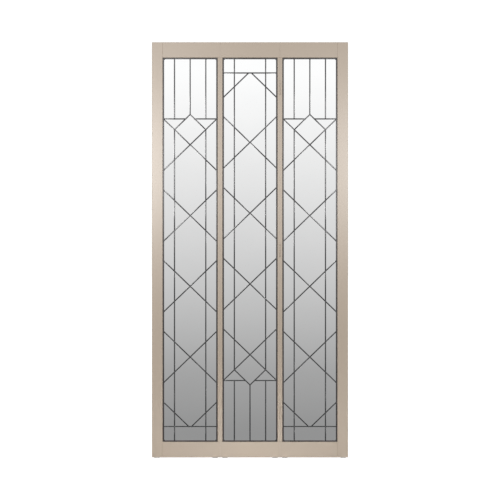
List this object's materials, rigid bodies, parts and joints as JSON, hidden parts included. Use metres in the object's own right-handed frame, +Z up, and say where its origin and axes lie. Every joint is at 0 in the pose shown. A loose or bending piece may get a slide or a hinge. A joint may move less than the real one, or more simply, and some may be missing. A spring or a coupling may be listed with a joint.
{
  "type": "folding room divider screen",
  "caption": "Folding screen of mirrored leaves: slim champagne metal frames hold leaded mirror lights and turn on slim hinges.",
  "frame": {"origin": "bottom centre of the whole screen standing flat, on the floor, midway between its front and back", "axes": "+Z up, +X to the right seen from the front, the front faces -Y"},
  "size_m": [0.864, 0.0324, 1.83],
  "materials": {
    "frame_metal": "champagne anodised, satin",
    "stop_metal": "champagne anodised, satin",
    "hinge_metal": "champagne anodised, satin",
    "joining_block": "mill finish",
    "lead_came": "patinated lead came, standing in for lead",
    "solder": "patinated solder",
    "mirror_glass": "silvered",
    "backing_board": "plain hardboard",
    "end_cap": "matte, in the frame's colour",
    "glide": "nylon",
    "screw_steel": "zinc plated",
    "pin_steel": "plain"
  },
  "bodies": {
    "centre_leaf": {"centre_left_stile": "frame_metal", "centre_right_stile": "frame_metal", "centre_top_rail": "frame_metal", "centre_bottom_rail": "frame_metal", "centre_joining_blocks": "joining_block", "centre_block_screws": "screw_steel", "centre_border_cames": "lead_came", "centre_upright_cames": "lead_came", "centre_lattice_cames": "lead_came", "centre_cross_cames": "lead_came", "centre_solder_joints": "solder", "centre_mirror_panes": "mirror_glass", "centre_backing_board": "backing_board", "centre_glazing_stops": "stop_metal", "centre_stop_screws": "screw_steel", "centre_glides": "glide", "left_hinge_inner_plates": "hinge_metal", "left_hinge_pins": "pin_steel", "left_hinge_inner_screws": "screw_steel", "right_hinge_inner_plates": "hinge_metal", "right_hinge_pins": "pin_steel", "right_hinge_inner_screws": "screw_steel"},
    "left_leaf": {"left_outer_stile": "frame_metal", "left_inner_stile": "frame_metal", "left_top_rail": "frame_metal", "left_bottom_rail": "frame_metal", "left_stile_caps": "end_cap", "left_joining_blocks": "joining_block", "left_block_screws": "screw_steel", "left_border_cames": "lead_came", "left_upright_cames": "lead_came", "left_lattice_cames": "lead_came", "left_cross_cames": "lead_came", "left_solder_joints": "solder", "left_mirror_panes": "mirror_glass", "left_backing_board": "backing_board", "left_glazing_stops": "stop_metal", "left_stop_screws": "screw_steel", "left_glides": "glide", "left_hinge_outer_plates": "hinge_metal", "left_hinge_outer_screws": "screw_steel"},
    "right_leaf": {"right_outer_stile": "frame_metal", "right_inner_stile": "frame_metal", "right_top_rail": "frame_metal", "right_bottom_rail": "frame_metal", "right_stile_caps": "end_cap", "right_joining_blocks": "joining_block", "right_block_screws": "screw_steel", "right_border_cames": "lead_came", "right_upright_cames": "lead_came", "right_lattice_cames": "lead_came", "right_cross_cames": "lead_came", "right_solder_joints": "solder", "right_mirror_panes": "mirror_glass", "right_backing_board": "backing_board", "right_glazing_stops": "stop_metal", "right_stop_screws": "screw_steel", "right_glides": "glide", "right_hinge_outer_plates": "hinge_metal", "right_hinge_outer_screws": "screw_steel"}
  },
  "joints": [
    {"name": "left_fold", "type": "hinge", "parent": "centre_leaf", "child": "left_leaf", "pos_m": [-0.13185, 0.0137, 0.916], "axis": [0, 0, -1], "range_deg": [0, 180]},
    {"name": "right_fold", "type": "hinge", "parent": "centre_leaf", "child": "right_leaf", "pos_m": [0.13185, -0.0137, 0.916], "axis": [0, 0, -1], "range_deg": [0, 180]}
  ]
}
